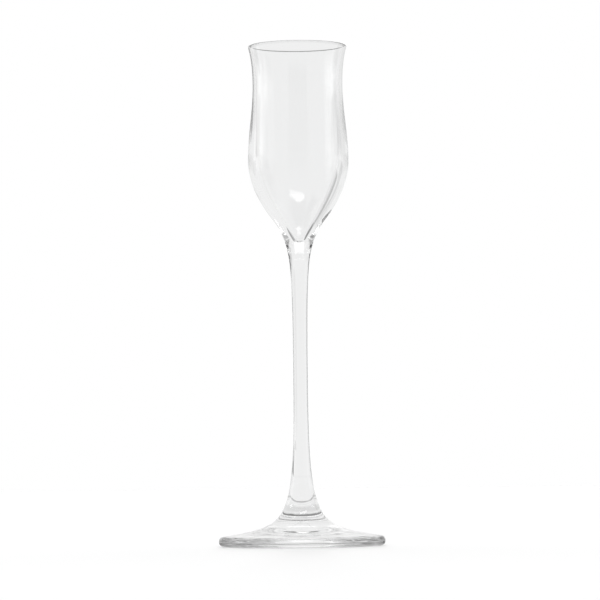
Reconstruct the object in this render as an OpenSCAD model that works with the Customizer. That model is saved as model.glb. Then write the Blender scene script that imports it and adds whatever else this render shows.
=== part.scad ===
// Spirits glass on a tall slim stem, in clear glass.
// Three gathers of glass, the bowl, the stem and the foot, are fused end to end at two flat welds.
// The glass stands on the foot's resting ring at z = 0, and +Z runs up the middle of the stem to the lip.
// All sizes are in millimetres.

/* [Bowl] */
// Height of the bowl, from its weld on the stem to the top of the lip
bowl_h = 88; // [80:1:120]
// Outside diameter across the lip
rim_d = 39.4; // [38:0.2:48]
// Outside diameter at the waist under the lip
waist_d = 36; // [32:0.2:38]
// Outside diameter at the belly
belly_d = 40.2; // [38:0.2:48]
// Outside diameter of the taper under the belly, half way down its straight stretch
taper_d = 20.8; // [16:0.2:26]
// Distance of the waist below the lip
waist_drop = 16; // [12:0.5:20]
// Height of the belly above the weld
belly_rise = 42; // [36:0.5:48]
// Height of the measured place on the taper above the weld
taper_rise = 18; // [14:0.5:22]
// Lean of the taper away from the axis, in degrees
taper_lean = 38; // [30:1:44]
// Lean of the lip away from the axis, in degrees
lip_lean = 15; // [5:1:25]
// Wall at the lip
lip_wall = 1; // [0.8:0.1:1.6]
// Wall at the waist
waist_wall = 1.3; // [0.9:0.1:2]
// Wall at the belly
belly_wall = 3.4; // [1.5:0.1:4]
// Solid glass between the weld and the tip of the hollow
heart_h = 9.4; // [8:0.2:12]
// Radius of the hollow's rounded tip
tip_r = 2.2; // [1:0.1:3]
// Lean of the hollow's sides just above its tip, in degrees
tip_lean = 28; // [22:1:36]
// Height of the hollow's widest place above the belly
hollow_lift = 3.2; // [0:0.2:5]

/* [Stem] */
// Length of the stem between its two welds
stem_l = 94; // [60:1:130]
// Diameter at the weld under the bowl
neck_d = 7.6; // [6.4:0.2:9]
// Lean of the outline at the weld under the bowl, in degrees
neck_lean = 6; // [3:1:10]
// Diameter at the slimmest place
slim_d = 5.7; // [4.4:0.1:6.2]
// Height of the slimmest place above the weld on the foot
slim_rise = 52; // [35:1:56]
// Diameter at the weld on the foot
collar_d = 12.3; // [10:0.1:14]
// Lean of the outline at the weld on the foot, in degrees
collar_lean = 18; // [12:1:24]

/* [Foot] */
// Height of the foot, from the table to its weld under the stem
foot_h = 18; // [15:0.5:24]
// Diameter of the foot
foot_d = 66.4; // [56:0.2:80]
// Thickness of the rounded edge
edge_t = 4; // [3:0.1:5]
// Fall of the foot's top at its edge, in degrees
edge_fall = 9; // [5:1:14]
// Width of the flat ring that the glass rests on
ring_w = 3; // [2:0.5:6]
// Rise of the shallow dish under the middle of the foot
dish_rise = 3; // [1:0.1:4]

/* [Hidden] */
$fn = 128;
// Straight pieces that stand for one curved span, and for one arc
span_steps = 16;
arc_steps = 10;
// Length of a curve's handles, as a share of the straight distance that the curve spans
ease = 0.35;
long_ease = 0.5;
hub_ease = 0.62;
short_ease = 0.2;
// Leans of the three main directions
up = lean_of([0, 1]);
out = lean_of([1, 0]);
down = lean_of([0, -1]);

bowl_z = foot_h + stem_l;
neck_r = neck_d / 2;
collar_r = collar_d / 2;
edge_r = edge_t / 2;
bead_r = foot_d / 2 - edge_r;
dish_r = bead_r - ring_w;
// Radius of the round surface that the dish is part of
dish_ball_r = (dish_r * dish_r + dish_rise * dish_rise) / (2 * dish_rise);

// The lean of a direction, in degrees from straight up, counted away from the axis
function lean_of(direction) = atan2(direction[0], direction[1]);

// A step of length one in the direction of a lean
function along(lean) = [sin(lean), cos(lean)];

// The points of a smooth curve after its start, from p at one lean to q at another
function span(p, p_lean, q, q_lean, p_ease = ease, q_ease = ease) =
    let (reach = norm(q - p))
    let (a = p + along(p_lean) * reach * p_ease)
    let (b = q - along(q_lean) * reach * q_ease)
    [for (i = [1:span_steps])
        let (t = i / span_steps, s = 1 - t)
        s * s * s * p + 3 * s * s * t * a + 3 * s * t * t * b + t * t * t * q];

// The points of a round stretch after its start, where its radius swings from one lean to another
function arc(middle, r, from_lean, to_lean) =
    [for (i = [1:arc_steps])
        middle + r * along(from_lean + (to_lean - from_lean) * i / arc_steps)];

// Solid of revolution about the axis, raised to its place
module turned(outline, z) {
    translate([0, 0, z])
        rotate_extrude()
            polygon(outline);
}

module clear_glass() {
    color("aliceblue", 0.4)
        children();
}

// Tulip bowl with a flared lip, and a hollow that ends in a point above a solid heart
module bowl() {
    neck = [neck_r, 0];
    taper = [taper_d / 2, taper_rise];
    belly = [belly_d / 2, belly_rise];
    waist = [waist_d / 2, bowl_h - waist_drop];
    lip_r = lip_wall / 2;
    lip = [rim_d / 2 - lip_r, bowl_h - lip_r];
    lip_side = lip_r * along(out + lip_lean);
    waist_in = waist - [waist_wall, 0];
    belly_in = belly + [-belly_wall, hollow_lift];
    tip = [0, heart_h + tip_r];
    tip_side = tip + tip_r * along(out + tip_lean);
    outline = concat(
        [[0, 0], neck],
        span(neck, neck_lean, taper, taper_lean),
        span(taper, taper_lean, belly, up),
        span(belly, up, waist, up),
        span(waist, up, lip + lip_side, lip_lean),
        arc(lip, lip_r, out + lip_lean, lip_lean - out),
        span(lip - lip_side, down + lip_lean, waist_in, down),
        span(waist_in, down, belly_in, down),
        span(belly_in, down, tip_side, down + tip_lean),
        arc(tip, tip_r, out + tip_lean, down)
    );
    clear_glass()
        turned(outline, bowl_z);
}

// Slim solid stem that swells towards both of its welds
module stem() {
    collar = [collar_r, 0];
    slim = [slim_d / 2, slim_rise];
    neck = [neck_r, stem_l];
    outline = concat(
        [[0, 0], collar],
        span(collar, -collar_lean, slim, up, short_ease, long_ease),
        span(slim, up, neck, neck_lean, ease, short_ease),
        [[0, stem_l]]
    );
    clear_glass()
        turned(outline, foot_h);
}

// Wide foot with a hollow-sided hub, a rounded edge, a flat resting ring and a shallow dish underneath
module foot() {
    collar = [collar_r, foot_h];
    edge = [bead_r, edge_r];
    edge_top = edge + edge_r * along(edge_fall);
    dish_middle = [0, dish_rise - dish_ball_r];
    dish_start = atan2(dish_r, -dish_middle[1]);
    outline = concat(
        [[0, foot_h], collar],
        span(collar, down - collar_lean, edge_top, out + edge_fall, ease, hub_ease),
        arc(edge, edge_r, edge_fall, down),
        [[dish_r, 0]],
        arc(dish_middle, dish_ball_r, dish_start, up)
    );
    clear_glass()
        turned(outline, 0);
}

bowl();
stem();
foot();
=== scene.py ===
# %% [markdown]
# # A clear spirits glass, dressed for the camera
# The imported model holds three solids: bowl, stem and foot. They are exact, but their triangles are
# too coarse to bend light cleanly. This lesson turns each one again as a fine smooth shell, gives it
# a glass finish, and builds the small white studio that lets clear glass be seen.

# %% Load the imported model
import math

import bmesh
import bpy
from mathutils import Matrix, Quaternion, Vector
from mathutils.geometry import interpolate_bezier


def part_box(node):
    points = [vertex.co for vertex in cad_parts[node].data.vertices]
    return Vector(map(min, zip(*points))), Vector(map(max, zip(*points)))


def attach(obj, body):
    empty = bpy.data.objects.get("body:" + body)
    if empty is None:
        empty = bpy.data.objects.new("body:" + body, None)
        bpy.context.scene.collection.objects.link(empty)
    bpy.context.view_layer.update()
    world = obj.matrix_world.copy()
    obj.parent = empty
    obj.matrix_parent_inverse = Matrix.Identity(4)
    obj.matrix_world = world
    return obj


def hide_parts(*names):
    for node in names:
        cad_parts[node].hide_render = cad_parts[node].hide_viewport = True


MM = 0.001

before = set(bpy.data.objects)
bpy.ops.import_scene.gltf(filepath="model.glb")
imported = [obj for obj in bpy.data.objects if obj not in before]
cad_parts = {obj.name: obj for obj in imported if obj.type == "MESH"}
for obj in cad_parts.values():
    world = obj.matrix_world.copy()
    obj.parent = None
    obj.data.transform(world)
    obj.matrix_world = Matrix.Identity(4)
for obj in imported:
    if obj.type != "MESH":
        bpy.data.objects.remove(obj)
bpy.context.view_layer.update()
scene = bpy.context.scene

# %% [markdown]
# ## Where the pieces meet
# The glass is three gathers of hot glass, fused end to end. The frame says where: the foot's top is
# the lower weld and the bowl's bottom is the upper one. The heights could be typed in again, but reading
# them from the frame keeps every new piece exactly where its solid is.

# %% Heights of the welds and of the lip
FOOT_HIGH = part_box("foot")[1]
STEM_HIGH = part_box("stem")[1]
BOWL_LOW, BOWL_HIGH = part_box("bowl")
LOWER_WELD = FOOT_HIGH.z
UPPER_WELD = BOWL_LOW.z
LIP_TOP = BOWL_HIGH.z
for name, height in (("lower weld", LOWER_WELD), ("upper weld", UPPER_WELD), ("lip", LIP_TOP)):
    print(name, "at", round(height / MM, 2), "mm")

# %% [markdown]
# ## Drawing an outline
# Every piece is round, so only its outline needs drawing. An outline could be a long list of points,
# but a few knots joined by curves with handles are easier to read and bend more smoothly. A lean is an
# angle in degrees from straight up, counted away from the axis: 0 is up, 90 is out, 180 is down. The ease
# is how far a curve's handle reaches, as a share of the distance between its two knots.

# %% Knots, leans and curves
UP, OUT, DOWN = 0, 90, 180
EASE = 0.35
SPAN_POINTS = 41


def knot(radius, height):
    """A point of an outline."""
    return Vector((radius, 0, height))


def along(lean):
    """A step of length one in the direction of a lean."""
    return Vector((math.sin(math.radians(lean)), 0, math.cos(math.radians(lean))))


def span(p, p_lean, q, q_lean, p_ease=EASE, q_ease=EASE):
    """Points of a smooth curve after its first knot."""
    reach = (q - p).length
    start_handle = p + along(p_lean) * reach * p_ease
    end_handle = q - along(q_lean) * reach * q_ease
    return interpolate_bezier(p, start_handle, end_handle, q, SPAN_POINTS)[1:]


print("each curve is drawn with", SPAN_POINTS, "points")

# %% [markdown]
# ## Turning a piece
# A lathe could be the Screw modifier, but the spin operator gives a mesh that can be mended at once.
# The outline starts and ends on the axis, and a full spin with use_merge closes the seam. Merging
# doubles closes the two poles, and recalculating the normals makes every face look out of the glass,
# which the glass shader needs to tell inside from outside. Fused glass has no surface at a weld, so
# the flat weld faces get a material slot of their own, after the slot of the glass.

# %% From a bmesh to an object
def placed(name, data):
    """Puts an object into the scene."""
    thing = bpy.data.objects.new(name, data)
    scene.collection.objects.link(thing)
    return thing


def formed(name, shape):
    """Makes an object of a finished bmesh."""
    mesh = bpy.data.meshes.new(name)
    shape.to_mesh(mesh)
    shape.free()
    return placed(name, mesh)


def chain(shape, points):
    """Draws a line of points into a bmesh, and gives its vertices and edges."""
    verts = [shape.verts.new(point) for point in points]
    edges = [shape.edges.new(pair) for pair in zip(verts, verts[1:])]
    return verts, edges


print("new objects go into", scene.collection.name)

# %% A lathe
AROUND = 192
MERGE = 0.0005 * MM
ON_WELD = 0.001 * MM
WELD_SLOT = 1


def turned(name, outline, welds):
    """Spins an outline about Z into a closed smooth piece."""
    shape = bmesh.new()
    verts, edges = chain(shape, outline)
    bmesh.ops.spin(shape, geom=verts + edges, cent=(0, 0, 0), axis=(0, 0, 1),
                   angle=math.tau, steps=AROUND, use_merge=True)
    bmesh.ops.remove_doubles(shape, verts=shape.verts, dist=MERGE)
    bmesh.ops.recalc_face_normals(shape, faces=shape.faces)
    for face in shape.faces:
        face.smooth = True
        heights = [vert.co.z for vert in face.verts]
        if any(all(abs(h - weld) < ON_WELD for h in heights) for weld in welds):
            face.material_index = WELD_SLOT
    for edge in shape.edges:
        edge.smooth = len({face.material_index for face in edge.link_faces}) == 1
    open_edges = sum(not edge.is_manifold for edge in shape.edges)
    print(name, len(shape.faces), "faces,", open_edges, "open edges")
    return formed(name, shape)


print("a full turn takes", AROUND, "steps")

# %% [markdown]
# ## The bowl
# The bowl is a tulip: a flared lip, a waist, a belly, and a taper that runs down to the stem. Its hollow
# ends in a rounded point well above the weld, which leaves a thick heart of solid glass, and the heart
# makes the bright and dark figures under the bowl. A shell with a Solidify modifier would have the same
# wall everywhere, so the hollow gets an outline of its own.

# %% Sizes of the bowl
RIM_R = 19.7 * MM
WAIST_R = 18 * MM
BELLY_R = BOWL_HIGH.x
TAPER_R = 10.4 * MM
NECK_R = 3.8 * MM
WAIST_Z = LIP_TOP - 16 * MM
BELLY_Z = UPPER_WELD + 42 * MM
TAPER_Z = UPPER_WELD + 18 * MM
LIP_LEAN, TAPER_LEAN, NECK_LEAN, TIP_LEAN = 15, 38, 6, 28
LIP_R = 0.5 * MM
WAIST_WALL = 1.3 * MM
BELLY_WALL = 3.4 * MM
HOLLOW_LIFT = 3.2 * MM
TIP_Z = UPPER_WELD + 9.4 * MM
TIP_R = 2.2 * MM
print("belly", round(2 * BELLY_R / MM, 2), "mm across, hollow from", round(TIP_Z / MM, 2), "mm up")

# %% Knots of the bowl
weld_middle = knot(0, UPPER_WELD)
neck = knot(NECK_R, UPPER_WELD)
taper = knot(TAPER_R, TAPER_Z)
belly = knot(BELLY_R, BELLY_Z)
waist = knot(WAIST_R, WAIST_Z)
lip = knot(RIM_R - LIP_R, LIP_TOP - LIP_R)
lip_outside = lip + along(OUT + LIP_LEAN) * LIP_R
lip_inside = lip - along(OUT + LIP_LEAN) * LIP_R
waist_inside = waist - knot(WAIST_WALL, 0)
belly_inside = belly + knot(-BELLY_WALL, HOLLOW_LIFT)
tip_middle = knot(0, TIP_Z + TIP_R)
tip_side = tip_middle + along(OUT + TIP_LEAN) * TIP_R
tip = knot(0, TIP_Z)
print("the lip's middle is", round(lip.x / MM, 2), "mm from the axis")

# %% Outline of the bowl
QUARTER_EASE = 0.39
TIP_EASE = 0.355


def half_round(middle, radius, lean):
    """Points of half a circle that starts where the lean points and turns towards the axis."""
    start, top, end = (middle + along(lean - turn) * radius for turn in (0, OUT, DOWN))
    first = span(start, lean - OUT, top, lean - DOWN, QUARTER_EASE, QUARTER_EASE)
    return first + span(top, lean - DOWN, end, lean - OUT - DOWN, QUARTER_EASE, QUARTER_EASE)


bowl_taper = span(neck, NECK_LEAN, taper, TAPER_LEAN)
bowl_side = span(belly, UP, waist, UP)
bowl_side += span(waist, UP, lip_outside, LIP_LEAN)

bowl_outline = [weld_middle, neck] + bowl_taper
bowl_outline += span(taper, TAPER_LEAN, belly, UP)
bowl_outline += bowl_side
bowl_outline += half_round(lip, LIP_R, OUT + LIP_LEAN)
bowl_outline += span(lip_inside, DOWN + LIP_LEAN, waist_inside, DOWN)
bowl_outline += span(waist_inside, DOWN, belly_inside, DOWN)
bowl_outline += span(belly_inside, DOWN, tip_side, DOWN + TIP_LEAN)
bowl_outline += span(tip_side, DOWN + TIP_LEAN, tip, DOWN + OUT, TIP_EASE, TIP_EASE)
bowl = turned("bowl_glass", bowl_outline, [UPPER_WELD])

# %% [markdown]
# ## The stem
# The stem is a solid rod, slimmest a little above its middle. It swells towards both welds with the same
# lean as its neighbours. A cylinder with wider ends would do from afar, but glass bends light by its
# slope and would show a kink at each weld, so the outline runs on through both of them.

# %% Outline of the stem
SLIM_R = 2.85 * MM
SLIM_Z = LOWER_WELD + 52 * MM
COLLAR_R = STEM_HIGH.x
COLLAR_LEAN = 18
SHORT_EASE, LONG_EASE = 0.2, 0.5

foot_weld_middle = knot(0, LOWER_WELD)
collar = knot(COLLAR_R, LOWER_WELD)
slim = knot(SLIM_R, SLIM_Z)

stem_side = span(collar, -COLLAR_LEAN, slim, UP, SHORT_EASE, LONG_EASE)
stem_side += span(slim, UP, neck, NECK_LEAN, EASE, SHORT_EASE)
stem_outline = [foot_weld_middle, collar] + stem_side + [weld_middle]
stem = turned("stem_glass", stem_outline, [LOWER_WELD, UPPER_WELD])

# %% [markdown]
# ## The foot
# The foot is a wide disc with a hollow-sided hub, a fully rounded edge, a flat ring that stands on the
# table, and a shallow dish inside the ring. A bevelled disc would have the right size, but the hub and
# the dish act as lenses, so their curves are drawn.

# %% Outline of the foot
FOOT_R = FOOT_HIGH.x
EDGE_R = 2 * MM
EDGE_FALL = 9
RING_W = 3 * MM
DISH_RISE = 3 * MM
HUB_EASE = 0.62
DISH_EASE = 0.333

edge_middle = knot(FOOT_R - EDGE_R, EDGE_R)
edge_top = edge_middle + along(EDGE_FALL) * EDGE_R
edge_side = edge_middle + along(OUT) * EDGE_R
edge_bottom = edge_middle + along(DOWN) * EDGE_R
dish_edge = edge_bottom - knot(RING_W, 0)
dish_middle = knot(0, DISH_RISE)
dish_lean = math.degrees(2 * math.atan2(DISH_RISE, dish_edge.x))

foot_outline = [foot_weld_middle, collar]
foot_outline += span(collar, DOWN - COLLAR_LEAN, edge_top, OUT + EDGE_FALL, EASE, HUB_EASE)
foot_outline += span(edge_top, OUT + EDGE_FALL, edge_side, DOWN, QUARTER_EASE, QUARTER_EASE)
foot_outline += span(edge_side, DOWN, edge_bottom, DOWN + OUT, QUARTER_EASE, QUARTER_EASE)
foot_outline += [dish_edge]
foot_outline += span(dish_edge, dish_lean - OUT, dish_middle, -OUT, DISH_EASE, DISH_EASE)
foot = turned("foot_glass", foot_outline, [LOWER_WELD])

# %% [markdown]
# ## Writing shader sums as Python
# Nodes could be wired one by one, but a tree is easier to read as sums. A Wire holds one output socket:
# adding or multiplying Wires adds Math nodes, and the node method adds any other kind of node, sets it
# up and fills its sockets.

# %% The Wire class
class Wire:
    """An output socket of a node tree that takes part in sums as a number does."""

    def __init__(self, tree, socket=None):
        self.tree = tree
        self.socket = socket

    def node(self, kind, settings=None, inputs=None, output=0):
        made = self.tree.nodes.new(kind)
        for name, value in (settings or {}).items():
            setattr(made, name, value)
        for name, value in (inputs or {}).items():
            if isinstance(value, Wire):
                self.tree.links.new(value.socket, made.inputs[name])
            else:
                made.inputs[name].default_value = value
        return Wire(self.tree, made.outputs[output] if made.outputs else None)

    def math(self, operation, left, right):
        return self.node("ShaderNodeMath", {"operation": operation}, {0: left, 1: right})

    def __add__(self, other):
        return self.math("ADD", self, other)

    def __sub__(self, other):
        return self.math("SUBTRACT", self, other)

    def __mul__(self, other):
        return self.math("MULTIPLY", self, other)

    def __rsub__(self, other):
        return self.math("SUBTRACT", other, self)

    __radd__ = __add__
    __rmul__ = __mul__


def fresh_tree(owner):
    """An empty node tree to draw on."""
    owner.use_nodes = True
    owner.node_tree.nodes.clear()
    return Wire(owner.node_tree)


print("a Wire takes part in sums with +, - and *")

# %% [markdown]
# ## Clear glass
# Clean soda glass has an index of refraction near 1.52. What shows that it is real is how little of it
# is perfect: hot-worked glass is faintly wavy, so lines seen through it wander. The waves could be
# modelled, but a soft noise on Object coordinates that feeds a Bump node keeps the mesh light. A second
# noise leaves a trace of haze.

# %% Glass finish for one piece
GLASS_IOR = 1.52
CLEAR = (0.988, 0.99, 0.99, 1)
WAVE_DETAIL = 1.0
HAZE = 0.012
HAZE_SCALE = 90.0
HAZE_DETAIL = 4.0


def glass_finish(name, wave_size, wave_height, stretch):
    """Clear glass with waves of a size and a height, stretched along the axes."""
    material = bpy.data.materials.new(name)
    draw = fresh_tree(material)
    here = draw.node("ShaderNodeTexCoord", output="Object")
    stretched = draw.node("ShaderNodeMapping", inputs={"Vector": here, "Scale": stretch})
    waves = draw.node("ShaderNodeTexNoise", inputs={
        "Vector": stretched, "Scale": 1 / wave_size, "Detail": WAVE_DETAIL})
    normal = draw.node("ShaderNodeBump", inputs={
        "Height": waves, "Strength": 1.0, "Distance": wave_height})
    haze = draw.node("ShaderNodeTexNoise", inputs={
        "Vector": here, "Scale": HAZE_SCALE, "Detail": HAZE_DETAIL})
    surface = draw.node("ShaderNodeBsdfPrincipled", inputs={
        "Base Color": CLEAR, "Roughness": haze * HAZE, "IOR": GLASS_IOR,
        "Transmission Weight": 1.0, "Normal": normal})
    draw.node("ShaderNodeOutputMaterial", inputs={"Surface": surface})
    return material


print("glass of index", GLASS_IOR)

# %% [markdown]
# ## Fused welds
# Where two gathers are fused, no surface is left between them. The weld faces could be deleted, but then
# each mesh would be open and would not know what is inside it. A see-through finish keeps the meshes
# closed and lets the light go on.

# %% Finish of the welds
def weld_finish():
    """A finish that can't be seen."""
    material = bpy.data.materials.new("fused_weld")
    draw = fresh_tree(material)
    surface = draw.node("ShaderNodeBsdfPrincipled", inputs={"Alpha": 0.0})
    draw.node("ShaderNodeOutputMaterial", inputs={"Surface": surface})
    return material


weld = weld_finish()
print("weld finish:", weld.name)

# %% [markdown]
# ## Waves of each piece
# The blown bowl and the drawn stem have long, very faint waves that run up the glass. The moulded foot is
# wavier, and its lines wander more. One finish for all three would be simpler, but each way of working
# the glass leaves its own mark.

# %% Dress the three pieces
finishes = {
    bowl: glass_finish("bowl_clear_glass", wave_size=14 * MM, wave_height=0.006 * MM, stretch=(1, 1, 0.4)),
    stem: glass_finish("stem_clear_glass", wave_size=9 * MM, wave_height=0.006 * MM, stretch=(1, 1, 0.3)),
    foot: glass_finish("foot_clear_glass", wave_size=10 * MM, wave_height=0.3 * MM, stretch=(1, 1, 1)),
}
for piece, finish in finishes.items():
    piece.data.materials.append(finish)
    piece.data.materials.append(weld)
    print(piece.name, "wears", finish.name)

# %% [markdown]
# ## Each piece stands for its solid
# The imported solids stay for weight and collision, but coarse triangles under fine glass would show. So
# each new piece rides on the one body and hides its solid.

# %% Ride and replace
for piece, node in ((bowl, "bowl"), (stem, "stem"), (foot, "foot")):
    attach(piece, "root")
    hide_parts(node)
    print(piece.name, "stands for", node)

# %% [markdown]
# ## The studio
# Clear glass shows only what surrounds it, so the studio is part of the look. A picture of a room could
# surround it, but plain cards can be moved and dimmed one at a time. The edges of the glass gather them
# into dark and bright lines. They are seen only in the glass, and the camera sees plain white.

# %% Helpers for the studio
WHITE = 1.0
WHITE_LIGHT = (1, 1, 1, 1)


def stage_piece(name, shape, material):
    """Puts a shape into the scene as part of the studio."""
    thing = formed(name, shape)
    thing.data.materials.append(material)
    print("studio:", name)
    return thing


def only_in_glass(thing):
    """Hides a thing from the camera and keeps its light and shadow off the floor."""
    thing.visible_camera = False
    thing.visible_diffuse = False
    thing.visible_shadow = False


def glow(name, level):
    """A finish that shines evenly."""
    material = bpy.data.materials.new(name)
    draw = fresh_tree(material)
    light = draw.node("ShaderNodeEmission", inputs={"Color": WHITE_LIGHT, "Strength": level})
    draw.node("ShaderNodeOutputMaterial", inputs={"Surface": light})
    return material


print("a strength of", WHITE, "is white")

# %% [markdown]
# ## The floor
# The glass stands on white paper. Paper alone would come out grey and a glow alone would lose the shadow,
# so the camera sees a mix of both. In the glass the floor is only a glow, a little under white, which
# gives the foot its tone.

# %% Floor
FLOOR_GAP = 0.05 * MM
FLOOR_R = 3.0
FLOOR_SEGMENTS = 96
FLOOR_LEVEL = 0.88
PAPER = (0.9, 0.9, 0.9, 1)
PAPER_SHARE = 0.7


def floor_finish():
    """Glowing paper for the camera, and an even glow in the glass."""
    material = bpy.data.materials.new("floor_white")
    draw = fresh_tree(material)
    camera_ray = draw.node("ShaderNodeLightPath", output="Is Camera Ray")
    level = FLOOR_LEVEL + camera_ray * (WHITE - FLOOR_LEVEL)
    glowing = draw.node("ShaderNodeEmission", inputs={"Color": WHITE_LIGHT, "Strength": level})
    paper = draw.node("ShaderNodeBsdfDiffuse", inputs={"Color": PAPER})
    both = draw.node("ShaderNodeMixShader", inputs={0: camera_ray * PAPER_SHARE, 1: glowing, 2: paper})
    draw.node("ShaderNodeOutputMaterial", inputs={"Surface": both})
    return material


shape = bmesh.new()
bmesh.ops.create_circle(shape, cap_ends=True, segments=FLOOR_SEGMENTS, radius=FLOOR_R)
bmesh.ops.translate(shape, vec=(0, 0, -FLOOR_GAP), verts=shape.verts)
stage_piece("floor", shape, floor_finish())

# %% [markdown]
# ## The tent
# A tent of pale cloth closes the room round the glass. A grey world would look the same in the glass, but
# it would change the light on the floor too, and the tent doesn't. It is a sphere, cut off below the floor.

# %% Tent
TENT_R = 2.0
TENT_AROUND, TENT_UP = 48, 24
TENT_HEM = -0.1
TENT_LEVEL = 0.88

shape = bmesh.new()
bmesh.ops.create_uvsphere(shape, u_segments=TENT_AROUND, v_segments=TENT_UP, radius=TENT_R)
low = [face for face in shape.faces if face.calc_center_median().z < TENT_HEM]
bmesh.ops.delete(shape, geom=low, context="FACES")
only_in_glass(stage_piece("tent", shape, glow("tent_cloth", TENT_LEVEL)))

# %% [markdown]
# ## Soft edges
# A card with hard edges draws hard lines in the glass. So each card fades out: a smooth step on Object
# coordinates mixes its glow with a transparent shader. A picture of a gradient would do it too, but a sum
# can be changed with one number. Only the front glows, and from behind a card isn't there.

# %% Fades
def fade(draw, offset, width, feather):
    """1 in the middle of a width and 0 outside it, with a soft edge."""
    distance = draw.math("ABSOLUTE", offset, 0)
    return draw.node("ShaderNodeMapRange", {"interpolation_type": "SMOOTHSTEP"}, {
        "Value": distance, "From Min": (width + feather) / 2, "From Max": (width - feather) / 2})


def veil(draw, level, cover):
    """Glows where it covers, seen from the front, and lets the room behind through elsewhere."""
    front = 1 - draw.node("ShaderNodeNewGeometry", output="Backfacing")
    clear = draw.node("ShaderNodeBsdfTransparent")
    light = draw.node("ShaderNodeEmission", inputs={"Color": WHITE_LIGHT, "Strength": level})
    both = draw.node("ShaderNodeMixShader", inputs={0: cover * front, 1: clear, 2: light})
    draw.node("ShaderNodeOutputMaterial", inputs={"Surface": both})


print("fade and veil are ready for cards, rings and strips")

# %% Sheets with soft edges
HALF = 0.5


def sheet(name, width, length, material):
    """A flat sheet that faces up."""
    shape = bmesh.new()
    bmesh.ops.create_grid(shape, x_segments=1, y_segments=1, size=HALF)
    bmesh.ops.scale(shape, vec=(width, length, 1), verts=shape.verts)
    thing = stage_piece(name, shape, material)
    only_in_glass(thing)
    return thing


def soft_card(name, place, turn, width, length, feather, level):
    """A sheet with soft edges, put in its place."""
    material = bpy.data.materials.new(name)
    draw = fresh_tree(material)
    here = draw.node("ShaderNodeTexCoord", output="Object")
    x = draw.node("ShaderNodeSeparateXYZ", inputs={0: here}, output="X")
    y = draw.node("ShaderNodeSeparateXYZ", inputs={0: here}, output="Y")
    veil(draw, level, fade(draw, x, width, feather) * fade(draw, y, length, feather))
    thing = sheet(name, width + feather, length + feather, material)
    thing.matrix_world = Matrix.Translation(place) @ turn.to_matrix().to_4x4()


print("a card starts as a sheet", 2 * HALF, "m wide")

# %% [markdown]
# ## Standing cards
# Soft boxes, brighter than the tent, make the bright strips along the bowl. Grey and dark cards make thin
# dark lines in the bowl's walls, in the stem and in the foot. Lamps would light the table as well, so all
# of these are cards. A card's place is given as seen from the glass: azimuth 0 is straight behind it,
# positive to the right.

# %% Places seen from the glass
EYE = Vector((0, 0, 0.1))


def around(azimuth, elevation, distance):
    """A place seen from the glass."""
    a, e = math.radians(azimuth), math.radians(elevation)
    return EYE + Vector((math.sin(a) * math.cos(e), math.cos(a) * math.cos(e), math.sin(e))) * distance


def card(name, azimuth, elevation, distance, width, height, feather, level):
    """A card that faces the glass."""
    place = around(azimuth, elevation, distance)
    soft_card(name, place, (EYE - place).to_track_quat("Z", "Y"), width, height, feather, level)


print("standing cards face a point", round(EYE.z / MM), "mm up")

# %% Standing cards
card("soft_box_left", azimuth=-75, elevation=8, distance=1.2,
     width=0.8, height=0.5, feather=0.25, level=1.6)
card("seam_right", azimuth=42, elevation=3, distance=1.2,
     width=0.85, height=0.26, feather=0.12, level=0.81)
card("soft_box_right", azimuth=88, elevation=5, distance=1.2,
     width=0.9, height=0.4, feather=0.2, level=1.3)
card("grey_card_right", azimuth=68, elevation=20, distance=1.25,
     width=1.4, height=0.42, feather=0.2, level=0.66)
card("dark_card_right", azimuth=67, elevation=18, distance=1.2,
     width=0.3, height=0.3, feather=0.1, level=0.05)
card("dark_card_left", azimuth=-90, elevation=52, distance=1.1,
     width=0.5, height=0.3, feather=0.06, level=0.05)
card("soft_box_back", azimuth=0, elevation=25, distance=1.3,
     width=0.7, height=0.3, feather=0.1, level=1.1)
card("dark_ceiling", azimuth=180, elevation=80, distance=1.2,
     width=1.0, height=0.8, feather=0.2, level=0.35)
card("camera_dark", azimuth=180, elevation=13, distance=1.1,
     width=0.9, height=0.5, feather=0.2, level=0.7)
card("low_strip_left", azimuth=-58, elevation=1.5, distance=1.15,
     width=0.32, height=0.18, feather=0.06, level=0.6)
card("low_strip_right", azimuth=68, elevation=1.5, distance=1.15,
     width=0.4, height=0.18, feather=0.06, level=0.45)

# %% [markdown]
# ## Level cards
# The taper and the heart of the bowl look down and see the table, so some of their dark lines come from
# cards that lie on it. Two more cards hang level in the air: one beside the heart and one behind the bowl.
# A darker floor would do this all round, but cards can shade one side alone.

# %% Level cards
HEART_FLAG_Z = UPPER_WELD + 2 * MM
LIP_SHELF_Z = UPPER_WELD + 16 * MM


def level_card(name, azimuth, distance, width, length, feather, level, height=0):
    """A card that lies level and points at the glass."""
    a = math.radians(azimuth)
    place = Vector((math.sin(a) * distance, math.cos(a) * distance, height))
    soft_card(name, place, Quaternion((0, 0, 1), -a), width, length, feather, level)


level_card("dark_floor_right", azimuth=56, distance=0.225,
           width=0.09, length=0.15, feather=0.03, level=0.25)
level_card("grey_floor_right", azimuth=56, distance=0.46,
           width=0.15, length=0.32, feather=0.06, level=0.5)
level_card("grey_floor_far", azimuth=38, distance=0.875,
           width=0.22, length=0.45, feather=0.1, level=0.7)
level_card("heart_flag", azimuth=-56, distance=0.018,
           width=0.013, length=0.02, feather=0.004, level=0.35, height=HEART_FLAG_Z)
level_card("lip_shelf", azimuth=0, distance=0.105,
           width=0.06, length=0.09, feather=0.02, level=0.4, height=LIP_SHELF_Z)

# %% [markdown]
# ## The highlight
# One bright oval soft box hangs high in front of the glass. The hollow's sides mirror it as the bright
# patch under the belly and as a small one in the tip. An area lamp would brighten the floor too, so this
# is a glowing disc, made long and rolled a little as the patch is.

# %% Highlight
DISC_SEGMENTS = 64


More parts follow.
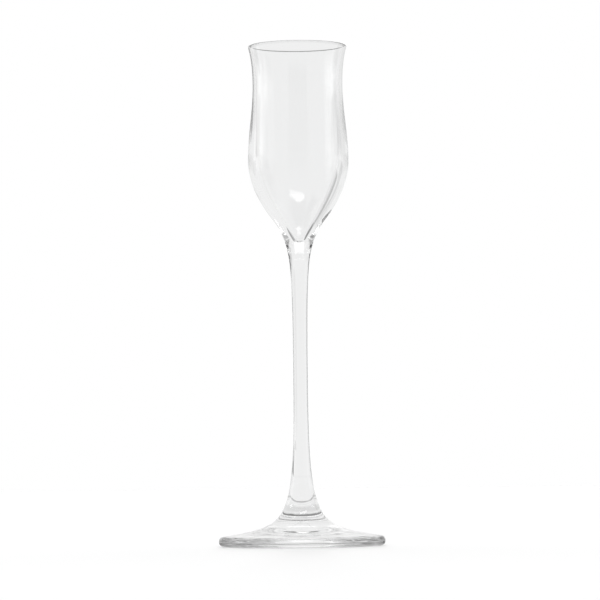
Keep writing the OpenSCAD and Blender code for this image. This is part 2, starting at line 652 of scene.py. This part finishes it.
def round_card(name, azimuth, elevation, distance, width, height, roll, level):
    """A round card that faces the glass, leaning by a roll in degrees."""
    place = around(azimuth, elevation, distance)
    facing = (EYE - place).to_track_quat("Z", "Y").to_matrix()
    shape = bmesh.new()
    bmesh.ops.create_circle(shape, cap_ends=True, segments=DISC_SEGMENTS, radius=HALF)
    bmesh.ops.scale(shape, vec=(width, height, 1), verts=shape.verts)
    bmesh.ops.rotate(shape, matrix=Matrix.Rotation(math.radians(roll), 3, "Z"), verts=shape.verts)
    bmesh.ops.rotate(shape, matrix=facing, verts=shape.verts)
    bmesh.ops.translate(shape, vec=place, verts=shape.verts)
    only_in_glass(stage_piece(name, shape, glow(name, level)))


round_card("soft_box_top", azimuth=170, elevation=56.5, distance=1.0,
           width=0.84, height=0.15, roll=13, level=4.0)

# %% [markdown]
# ## Rings
# Some dark lines run right round the glass: the one along the lip, the one where the foot's edge meets the
# table, and a soft shade under the dish. Level rings about the axis make them. The two on the floor are
# painted shadow: in the glass the floor is an even glow, so dark rings stand in for the foot's shadow
# around its edge and under the dish. A ring could be a mesh with a hole, but a square sheet that fades with
# the distance from its middle has soft edges.

# %% Rings
SHADE_HIGH, SHADE_LOW = -0.4 * FLOOR_GAP, -0.6 * FLOOR_GAP
LIP_FLAG_Z = LIP_TOP - 1.2 * MM


def ring(name, radius, width, feather, height, level):
    """A level ring round the glass's axis."""
    material = bpy.data.materials.new(name)
    draw = fresh_tree(material)
    here = draw.node("ShaderNodeTexCoord", output="Object")
    distance = draw.node("ShaderNodeVectorMath", {"operation": "LENGTH"}, {0: here}, output="Value")
    veil(draw, level, fade(draw, distance - radius, width, feather))
    outer = 2 * radius + width + feather
    sheet(name, outer, outer, material).location.z = height


ring("lip_flag", radius=23.4 * MM, width=7 * MM, feather=0.2 * MM, height=LIP_FLAG_Z, level=0.2)
# contact_shade and under_shade are painted shadow: dark rings on the floor where the foot's shadow falls,
# seen only in the glass.
ring("contact_shade", radius=37.5 * MM, width=9 * MM, feather=7 * MM, height=SHADE_HIGH, level=0.22)
ring("under_shade", radius=0, width=36 * MM, feather=16 * MM, height=SHADE_LOW, level=0.72)

# %% [markdown]
# ## Edge flags
# On a white ground the outline of clear glass can vanish, and narrow dark flags beside it bring it back.
# A flag far away draws a second line inside the wall, so each flag stands right beside the glass. It
# leans back, so that only light that grazes the wall meets its front. One set stands left and right of
# the glass for the camera, and a like set turned by a quarter serves a view from the side. A strip fades
# at the ends of its band of heights. The bowl's band has its middle at the lip, so its lower half counts.

# %% Strips beside an outline
STRIP_GAP = 0.2 * MM
STRIP_WIDTH = 4 * MM
STRIP_LEAN = math.radians(40)
STRIP_FEATHER = 8 * MM


def edge_flag(name, facing, side, line, behind, middle, height, level):
    """A strip beside an outline, turned so that only light that grazes the glass meets it."""
    material = bpy.data.materials.new(name)
    draw = fresh_tree(material)
    here = draw.node("ShaderNodeTexCoord", output="Object")
    z = draw.node("ShaderNodeSeparateXYZ", inputs={0: here}, output="Z")
    veil(draw, level, fade(draw, z - middle, height, STRIP_FEATHER))
    shape = bmesh.new()
    edges = chain(shape, [(side * (point.x + STRIP_GAP), 0, point.z) for point in line])[1]
    grown = bmesh.ops.extrude_edge_only(shape, edges=edges)["geom"]
    far = [part for part in grown if isinstance(part, bmesh.types.BMVert)]
    turn = Matrix.Rotation(side * math.radians(behind), 3, "Z")
    reach = Vector((side * math.sin(STRIP_LEAN), math.cos(STRIP_LEAN), 0)) * STRIP_WIDTH
    bmesh.ops.rotate(shape, matrix=turn, verts=shape.verts)
    bmesh.ops.translate(shape, vec=reach, verts=far)
    shape.normal_update()
    away = [face for face in shape.faces if face.normal.y > 0]
    bmesh.ops.reverse_faces(shape, faces=away)
    bmesh.ops.rotate(shape, matrix=Matrix.Rotation(math.radians(facing), 3, "Z"), verts=shape.verts)
    only_in_glass(stage_piece(name, shape, material))


print("strips stand", round(STRIP_GAP / MM, 2), "mm from the glass")

# %% Flags of the bowl and the stem
LEFT, RIGHT = -1, 1
TO_CAMERA, TO_SIDE = 0, 90
BOWL_BEHIND, STEM_BEHIND = 5, 15
BOWL_BAND, BOWL_SIDE_BAND = 72 * MM, 80 * MM
STEM_BAND, STEM_BAND_MIDDLE = 92 * MM, 72 * MM

stem_line = stem_side + bowl_taper


def bowl_flag(name, facing, side, band, level):
    """A strip beside the bowl, from its lip down."""
    edge_flag(name, facing, side, bowl_side, BOWL_BEHIND, LIP_TOP, band, level)


def stem_flag(name, facing, side, level):
    """A strip beside the stem and the lower taper."""
    edge_flag(name, facing, side, stem_line, STEM_BEHIND, STEM_BAND_MIDDLE, STEM_BAND, level)


bowl_flag("bowl_flag_left", TO_CAMERA, LEFT, BOWL_BAND, level=0.3)
bowl_flag("bowl_flag_right", TO_CAMERA, RIGHT, BOWL_BAND, level=0.7)
stem_flag("stem_flag_left", TO_CAMERA, LEFT, level=0)
stem_flag("stem_flag_right", TO_CAMERA, RIGHT, level=0)
bowl_flag("bowl_flag_front", TO_SIDE, LEFT, BOWL_SIDE_BAND, level=0.2)
bowl_flag("bowl_flag_back", TO_SIDE, RIGHT, BOWL_SIDE_BAND, level=0.2)
stem_flag("stem_flag_front", TO_SIDE, LEFT, level=0)
stem_flag("stem_flag_back", TO_SIDE, RIGHT, level=0.45)

# %% [markdown]
# ## The world
# Behind everything is plain white, for the camera and for what glass and gloss show. As light on the
# floor it counts only half. A world of one strength would be simpler, but it would wash out the shadow.

# %% World
ROOM_LIGHT = 0.5
SEEN_BY = ("Is Camera Ray", "Is Glossy Ray", "Is Transmission Ray")

world = bpy.data.worlds.new("white_room")
scene.world = world
draw = fresh_tree(world)
camera_ray, glossy_ray, glass_ray = (draw.node("ShaderNodeLightPath", output=kind) for kind in SEEN_BY)
seen = draw.math("MAXIMUM", draw.math("MAXIMUM", camera_ray, glossy_ray), glass_ray)
strength = ROOM_LIGHT + seen * (WHITE - ROOM_LIGHT)
background = draw.node("ShaderNodeBackground", inputs={"Color": WHITE_LIGHT, "Strength": strength})
draw.node("ShaderNodeOutputWorld", inputs={"Surface": background})
print("world:", world.name)

# %% [markdown]
# ## Two lamps
# Clear glass needs no lamp to be seen, but its shadow on the floor does. Area lamps would have to be placed
# and aimed, and a sun only has to be tilted. Two suns behind the glass, a wide high one and a narrow low
# one, let a soft shadow fall towards the camera. Neither shows in the glass.

# %% Lamps
def sun(name, spread, energy, tilt):
    """A sun behind the glass, tilted back from straight overhead."""
    data = bpy.data.lights.new(name, "SUN")
    data.angle = math.radians(spread)
    data.energy = energy
    lamp = placed(name, data)
    lamp.rotation_euler = (math.radians(-tilt), 0, 0)
    lamp.visible_glossy = False
    lamp.visible_transmission = False
    print(name, "of strength", energy)


sun("key_lamp", spread=70, energy=2.1, tilt=40)
sun("low_lamp", spread=9, energy=3.5, tilt=84)

# %% [markdown]
# ## The camera
# The photograph is taken with a long lens from just above the table: the foot is seen a little from above
# and the lip a little from below. The camera could be placed by eye, but one photograph pixel is 0.4 mm on
# the glass's axis, so the lens follows from the distance. A small roll shares out the lean of the stem.

# %% Camera
PICTURE = 600
PIXEL = 0.3995 * MM
BASE_ROW = 545.4
MIDDLE_COLUMN = 299.75
CAMERA_DISTANCE = 1.316
CAMERA_HEIGHT = 33 * MM
ROLL = 0.6
SENSOR = 36

aim = Vector(((PICTURE / 2 - MIDDLE_COLUMN) * PIXEL, 0, (BASE_ROW - PICTURE / 2) * PIXEL))
stand = Vector((0, -CAMERA_DISTANCE, CAMERA_HEIGHT))
look = (aim - stand).to_track_quat("-Z", "Y")
camera_data = bpy.data.cameras.new("camera")
camera_data.sensor_width = SENSOR
camera_data.lens = SENSOR * (aim - stand).length / (PICTURE * PIXEL)
camera = placed("camera", camera_data)
camera.location = stand
camera.rotation_mode = "QUATERNION"
camera.rotation_quaternion = look @ Quaternion((0, 0, 1), math.radians(-ROLL))
scene.camera = camera
print("lens", round(camera_data.lens, 1), "mm")

# %% [markdown]
# ## Render settings
# Light that crosses the bowl meets many faces of glass, and with the usual limits the thick places could
# turn dark, so it may bounce more often.

# %% Settings
GLASS_BOUNCES = 24
GLOSSY_BOUNCES = 12
CLEAR_BOUNCES = 16

scene.view_settings.view_transform = "Standard"
scene.cycles.max_bounces = GLASS_BOUNCES
scene.cycles.transmission_bounces = GLASS_BOUNCES
scene.cycles.glossy_bounces = GLOSSY_BOUNCES
scene.cycles.transparent_max_bounces = CLEAR_BOUNCES
